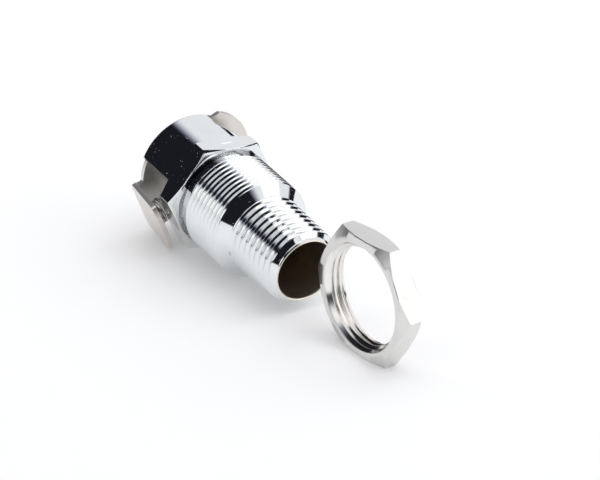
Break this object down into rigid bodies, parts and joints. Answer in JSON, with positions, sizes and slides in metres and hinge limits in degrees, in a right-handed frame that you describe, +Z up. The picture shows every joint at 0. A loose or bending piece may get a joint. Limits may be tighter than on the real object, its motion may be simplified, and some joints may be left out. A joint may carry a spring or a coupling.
{
  "type": "panel-mount quick-release fluid coupling",
  "caption": "Chrome-plated panel-mount quick-release coupling with a spring thumb latch, taper pipe thread, shut-off valve and a loose hexagon jam nut.",
  "frame": {"origin": "on the surface that the coupling lies on, under the middle of the whole assembly", "axes": "+X from the coupling's head towards its pipe end and the loose nut, +Z up; the coupling's bore rises 4.4 degrees towards the head"},
  "size_m": [0.0662, 0.0234, 0.0206],
  "materials": {
    "chrome_plate": "bright chrome plate over brass, mirror polished, with fine handling scratches",
    "nickel_plate": "satin nickel plate over turned and milled brass, fine machining lines",
    "stainless_sheet": "tumbled stainless sheet, satin, with rounded stamped edges",
    "spring_wire": "drawn stainless spring wire, bright",
    "bare_brass": "turned brass, dull from use",
    "seal_rubber": "black nitrile rubber, matt"
  },
  "bodies": {
    "coupling": {"coupling_body": "chrome_plate", "valve_guide": "bare_brass", "guide_retaining_ring": "spring_wire", "valve_spring": "spring_wire", "latch_spring": "spring_wire", "locking_pin_spring": "spring_wire"},
    "latch": {"latch_plate": "stainless_sheet"},
    "pin": {"locking_pin": "spring_wire"},
    "valve": {"valve_poppet": "bare_brass", "valve_seal": "seal_rubber"},
    "nut": {"jam_nut": "nickel_plate"}
  },
  "joints": [
    {"name": "latch_slide", "type": "slide", "parent": "coupling", "child": "latch", "axis": [-0.0307, -0.9171, -0.3976], "range_m": [0, 0.0018], "deforming": ["latch_spring"]},
    {"name": "locking_pin_slide", "type": "slide", "parent": "coupling", "child": "pin", "axis": [0.997, 0, -0.0769], "range_m": [0, 0.0027], "deforming": ["locking_pin_spring"]},
    {"name": "valve_slide", "type": "slide", "parent": "coupling", "child": "valve", "axis": [0.997, 0, -0.0769], "range_m": [0, 0.0026], "stiffness_N_per_m": 300, "springref_m": -0.005, "deforming": ["valve_spring"]},
    {"name": "nut_slide", "type": "slide", "parent": "coupling", "child": "nut", "axis": [1, 0, 0], "range_m": [0, 0.02]}
  ],
  "couplings": [
    {"joint": "locking_pin_slide", "follows": "latch_slide", "ratio": 1.5}
  ]
}
